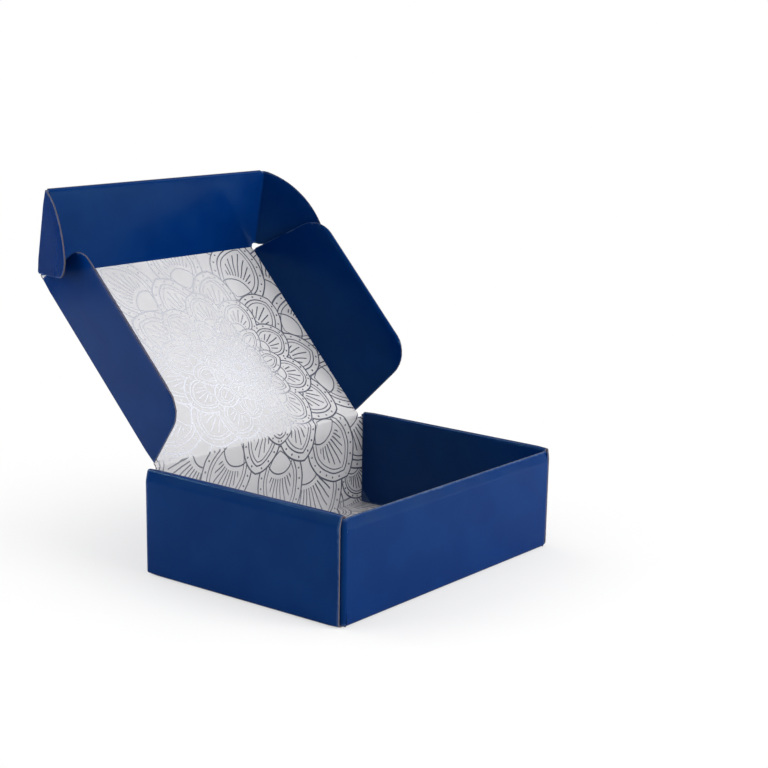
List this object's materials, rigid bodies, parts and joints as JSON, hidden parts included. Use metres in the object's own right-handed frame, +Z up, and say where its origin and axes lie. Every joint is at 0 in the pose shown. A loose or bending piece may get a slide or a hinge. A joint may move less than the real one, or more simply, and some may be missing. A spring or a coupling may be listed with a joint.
{
  "type": "corrugated mailer box",
  "caption": "Open roll-end mailer box folded from printed corrugated board, with double side walls, a hinged lid with side wings and a front flap with ears.",
  "frame": {"origin": "middle of the tray's underside", "axes": "+Z up from the underside, +X to the right along the front wall, the front wall at -Y and the lid's fold at +Y"},
  "size_m": [0.2294, 0.245, 0.2178],
  "materials": {
    "blue_board": "corrugated board with a glossy deep blue printed laminate",
    "lid_board": "corrugated board, pale grey with silver line print inside and glossy deep blue outside"
  },
  "bodies": {
    "tray": {"tray": "blue_board"},
    "lid": {"lid_panel": "lid_board"},
    "front_flap": {"front_flap": "blue_board"},
    "left_wing": {"left_wing": "blue_board"},
    "right_wing": {"right_wing": "blue_board"},
    "left_ear": {"left_ear": "blue_board"},
    "right_ear": {"right_ear": "blue_board"}
  },
  "joints": [
    {"name": "lid_fold", "type": "hinge", "parent": "tray", "child": "lid", "pos_m": [0, 0.0742, 0.0632], "axis": [-1, 0, 0], "range_deg": [-133, 67]},
    {"name": "front_flap_fold", "type": "hinge", "parent": "lid", "child": "front_flap", "pos_m": [0, 0.16913, 0.165], "axis": [-1, 0, 0], "range_deg": [-47.88, 24.12]},
    {"name": "left_wing_fold", "type": "hinge", "parent": "lid", "child": "left_wing", "pos_m": [-0.0928, 0.12194, 0.11439], "axis": [0, -0.682, -0.7314], "range_deg": [-31.92, 16.08]},
    {"name": "right_wing_fold", "type": "hinge", "parent": "lid", "child": "right_wing", "pos_m": [0.0928, 0.12194, 0.11439], "axis": [0, 0.682, 0.7314], "range_deg": [-28.99, 14.61]},
    {"name": "left_ear_fold", "type": "hinge", "parent": "front_flap", "child": "left_ear", "pos_m": [-0.0953, 0.16449, 0.19135], "axis": [0, 0.1736, -0.9848], "range_deg": [-26.6, 13.4]},
    {"name": "right_ear_fold", "type": "hinge", "parent": "front_flap", "child": "right_ear", "pos_m": [0.0953, 0.16449, 0.19135], "axis": [0, -0.1736, 0.9848], "range_deg": [-26.6, 13.4]}
  ],
  "couplings": [
    {"joint": "front_flap_fold", "follows": "lid_fold", "ratio": 0.36},
    {"joint": "left_wing_fold", "follows": "lid_fold", "ratio": 0.24},
    {"joint": "left_ear_fold", "follows": "lid_fold", "ratio": 0.2},
    {"joint": "right_wing_fold", "follows": "lid_fold", "ratio": 0.218},
    {"joint": "right_ear_fold", "follows": "lid_fold", "ratio": 0.2}
  ]
}
